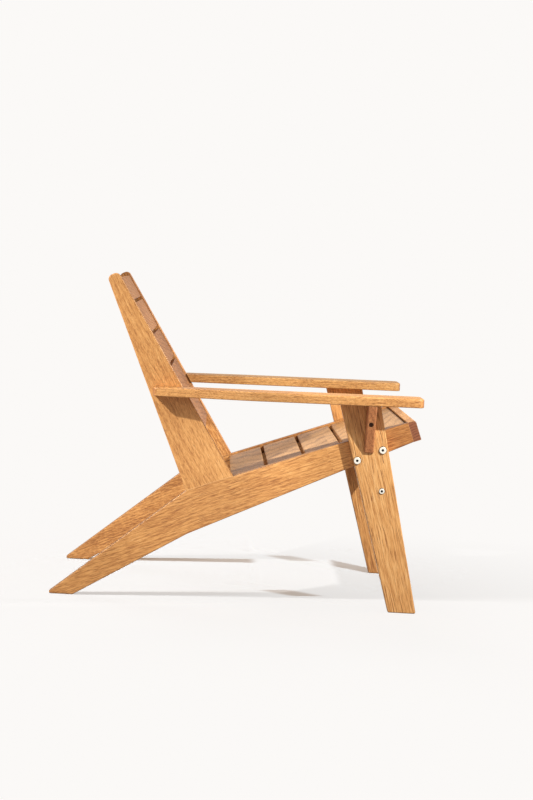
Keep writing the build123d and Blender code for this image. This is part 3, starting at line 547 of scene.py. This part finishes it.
lamps = {
    "rearLamp": {"place": behind, "aim": (-0.29, 0.20, 0.12), "halfAngle": 21.0, "watts": 238.0,
                 "flags": (rearFlag,), "spares": ("seat_slat_1",)},
    "frontLamp": {"place": ahead, "aim": (-0.10, -0.34, 0.33), "halfAngle": 25.0, "watts": 258.0,
                  "flags": (frontFlag,), "spares": ("right_seat_rail", "studioFloor")},
    "railLamp": {"place": (-1.262, -1.10, 1.818), "aim": (-0.29, -0.20, 0.30), "halfAngle": 25.0, "watts": 205.0,
                 "flags": (frontFlag, legFlag), "only": ("right_seat_rail",), "passes": ("right_armrest",)},
    "middleLamp": {"place": (-2.0, 0.0, 1.1), "aim": (-0.29, 0.05, 0.21), "halfAngle": 9.0, "watts": 42.0,
                   "spares": ("studioFloor",)},
    "edgeLamp": {"place": (-0.40, -2.0, 1.75), "aim": (-0.279, 0.25, 0.60), "halfAngle": 25.0, "watts": 190.0,
                 "only": ("right_back_upright", "left_back_upright")},
    "farBandLamp": {"place": (-0.577, 1.481, 1.682), "aim": (0.34, 0.10, 0.0), "halfAngle": 14.0, "watts": 650.0,
                    "flags": (farBandFlag,), "blockers": ("left_seat_rail",), **floorBeam},
    "nearBandLamp": {"place": (-1.341, 1.481, 1.682), "aim": (-0.19, 0.12, 0.0), "halfAngle": 16.0, "watts": 116.0,
                     "flags": (nearBandFlag,), "blockers": ("right_seat_rail",), **floorBeam},
    "nearDashLamp": {"place": (-1.371, 1.481, 1.682), "aim": nearDash, "halfAngle": 5.0, "watts": 600.0,
                     "flags": nearDashFlags, "blockers": ("right_seat_rail",), **floorBeam},
    "farDashLamp": {"place": (-0.940, 1.481, 1.682), "aim": farDash, "halfAngle": 5.0, "watts": 600.0,
                    "flags": farDashFlags, "blockers": ("left_seat_rail",), **floorBeam},
    "footLamp": {"place": ahead, "aim": (0.37, -0.33, 0.0), "halfAngle": 8.0, "watts": 640.0,
                 "flags": (footFlag,), "blockers": ("left_front_leg",), **floorBeam},
}
rimLamp = {"from": (1.0, 0.25, 0.9), "strength": 0.5, "spread": 30.0}


# share of a lamp's light that passes its flags, along a ray of length one
def pastFlags(bench, lamp, ray):
    share = 1.0
    for shade in lamp.get("flags", ()):
        high, low, lit = (Vector(shade[key]) - Vector(lamp["place"]) for key in ("high", "low", "litSide"))
        litWay = high.cross(low).normalized()
        if litWay.dot(lit) < 0.0:
            litWay.negate()
        side = bench.vector("DOT_PRODUCT", ray, tuple(litWay))
        passed = bench.spread(side, -shade["softness"], shade["softness"], shade["leak"], 1.0)
        share = bench.calc("MULTIPLY", share, passed)
    return share


# pieces that a lamp lights alone, leaves out or passes without a shadow
def pieceSet(name, pieces, state):
    kept = bpy.data.collections.new(name)
    for piece in pieces:
        kept.objects.link(lightable[piece])
    for entry in kept.collection_objects:
        entry.light_linking.link_state = state
    return kept


for name, lamp in lamps.items():
    beam = Vector(lamp["aim"]) - Vector(lamp["place"])
    bpy.ops.object.light_add(type="SPOT", location=lamp["place"])
    spot = bpy.context.active_object
    spot.name = name
    spot.data.energy = lamp["watts"]
    spot.data.color = lamp.get("tint", white)
    spot.data.spot_size = 2.0 * radians(lamp["halfAngle"])
    spot.data.spot_blend = 1.0
    spot.data.shadow_soft_size = lamp.get("bulb", bulbRadius)
    spot.rotation_euler = beam.to_track_quat("-Z", "Y").to_euler()
    lamp["beam"] = beam.normalized()
    if "only" in lamp:
        spot.light_linking.receiver_collection = pieceSet(name + "Only", lamp["only"], "INCLUDE")
    if "spares" in lamp:
        spot.light_linking.receiver_collection = pieceSet(name + "Spares", lamp["spares"], "EXCLUDE")
    if "blockers" in lamp:
        spot.light_linking.blocker_collection = pieceSet(name + "Blockers", lamp["blockers"], "INCLUDE")
    if "passes" in lamp:
        spot.light_linking.blocker_collection = pieceSet(name + "Passes", lamp["passes"], "EXCLUDE")
    bulb = NodeBench(spot.data)
    glow = bulb.node("ShaderNodeEmission")
    ray = bulb.node("ShaderNodeNewGeometry").outputs["Normal"]
    bulb.feed(glow.inputs["Strength"], pastFlags(bulb, lamp, ray))
    bulb.feed(bulb.node("ShaderNodeOutputLight").inputs[0], glow.outputs[0])
rimFrom = Vector(rimLamp["from"]).normalized()
bpy.ops.object.light_add(type="SUN", location=rimFrom)
rim = bpy.context.active_object
rim.name = "rimLamp"
rim.data.energy = rimLamp["strength"]
rim.data.angle = radians(rimLamp["spread"])
rim.rotation_euler = (-rimFrom).to_track_quat("-Z", "Y").to_euler()

# paint the floor evenly white where the lamps reach it, so that it keeps the chair's shadows
paper = NodeBench(bpy.data.materials.new("floor_paper"))
spotOnFloor = paper.node("ShaderNodeTexCoord").outputs["Object"]
lampLight = [rimLamp["strength"] / pi * rimFrom.z] * 3
for lamp in lamps.values():
    if "studioFloor" not in lamp.get("only", lightable) or "studioFloor" in lamp.get("spares", ()):
        continue
    fromLamp = paper.vector("SUBTRACT", spotOnFloor, lamp["place"])
    distance = paper.vector("LENGTH", fromLamp)
    ray = paper.vector("NORMALIZE", fromLamp)
    offBeam = paper.vector("DOT_PRODUCT", ray, tuple(lamp["beam"]))
    cone = paper.spread(offBeam, cos(radians(lamp["halfAngle"])), 1.0)
    power = paper.calc("MULTIPLY", cone, lamp["watts"] * lamp["place"][2] / (4.0 * pi * pi))
    power = paper.calc("MULTIPLY", power, pastFlags(paper, lamp, ray))
    power = paper.calc("DIVIDE", power, paper.calc("POWER", distance, 3.0))
    lampLight = paper.vector("ADD", lampLight, paper.vector("MULTIPLY", power, lamp.get("tint", white)))
shade = [studio["shadowDepth"] * channel for channel in studio["paper"]]
skyLight = [studio["fill"] * channel for channel in studio["fillTint"]]
steady = [channel - part * light for channel, part, light in zip(studio["paper"], shade, skyLight)]
paperShade = paper.node("ShaderNodeBsdfDiffuse")
paperShade.inputs["Color"].default_value = (*shade, 1.0)
paperGlow = paper.node("ShaderNodeEmission")
lampShare = paper.vector("MULTIPLY", lampLight, shade)
paper.feed(paperGlow.inputs["Color"], paper.vector("SUBTRACT", steady, lampShare))
seenPaper = paper.node("ShaderNodeAddShader")
paper.feed(seenPaper.inputs[0], paperShade.outputs[0])
paper.feed(seenPaper.inputs[1], paperGlow.outputs[0])
plainPaper = paper.node("ShaderNodeEmission")
plainPaper.inputs["Color"].default_value = (*studio["fillTint"], 1.0)
plainPaper.inputs["Strength"].default_value = studio["bounce"]
seen = paper.node("ShaderNodeLightPath")
eitherRay = paper.calc("MAXIMUM", seen.outputs["Is Camera Ray"], seen.outputs["Is Glossy Ray"])
mixPaper = paper.node("ShaderNodeMixShader")
paper.feed(mixPaper.inputs[0], eitherRay)
paper.feed(mixPaper.inputs[1], plainPaper.outputs[0])
paper.feed(mixPaper.inputs[2], seenPaper.outputs[0])
paper.feed(paper.node("ShaderNodeOutputMaterial").inputs[0], mixPaper.outputs[0])
paper.owner.cycles.emission_sampling = "NONE"
floor.data.materials.append(paper.owner)

# warm fill from all round, seen by the camera as more of the pale paper
scene.world = bpy.data.worlds.new("studioWorld")
sky = NodeBench(scene.world)
skyFill = sky.node("ShaderNodeBackground")
skyFill.inputs["Color"].default_value = (*studio["fillTint"], 1.0)
skyFill.inputs["Strength"].default_value = studio["fill"]
skySeen = sky.node("ShaderNodeBackground")
skySeen.inputs["Color"].default_value = (*studio["paper"], 1.0)
skySeen.inputs["Strength"].default_value = 1.0
skyMix = sky.node("ShaderNodeMixShader")
sky.feed(skyMix.inputs[0], sky.node("ShaderNodeLightPath").outputs["Is Camera Ray"])
sky.feed(skyMix.inputs[1], skyFill.outputs[0])
sky.feed(skyMix.inputs[2], skySeen.outputs[0])
sky.feed(sky.node("ShaderNodeOutputWorld").inputs[0], skyMix.outputs[0])
print("chair: studio lit")

# camera from the sitter's right, a little above seat height
view = {"place": (-4.9902, 0.0838, 0.8220), "yaw": -1.692, "pitch": -3.962, "roll": 3.305, "lens": 88.2,
        "sensor": 36.0, "farClip": 200.0}
yaw, pitch, roll = (radians(view[key]) for key in ("yaw", "pitch", "roll"))
onward = Vector((cos(pitch) * cos(yaw), cos(pitch) * sin(yaw), sin(pitch)))
levelRight = Vector((sin(yaw), -cos(yaw), 0.0))
levelUp = levelRight.cross(onward)
right = cos(roll) * levelRight + sin(roll) * levelUp
up = cos(roll) * levelUp - sin(roll) * levelRight
bpy.ops.object.camera_add(location=(0.0, 0.0, 0.0))
camera = bpy.context.active_object
camera.name = "photoCamera"
camera.data.sensor_fit = "AUTO"
camera.data.sensor_width = view["sensor"]
camera.data.lens = view["lens"]
camera.data.clip_end = view["farClip"]
turnMatrix = Matrix((right, up, -onward)).transposed().to_4x4()
camera.matrix_world = Matrix.Translation(Vector(view["place"])) @ turnMatrix
scene.camera = camera
print("chair: camera placed")
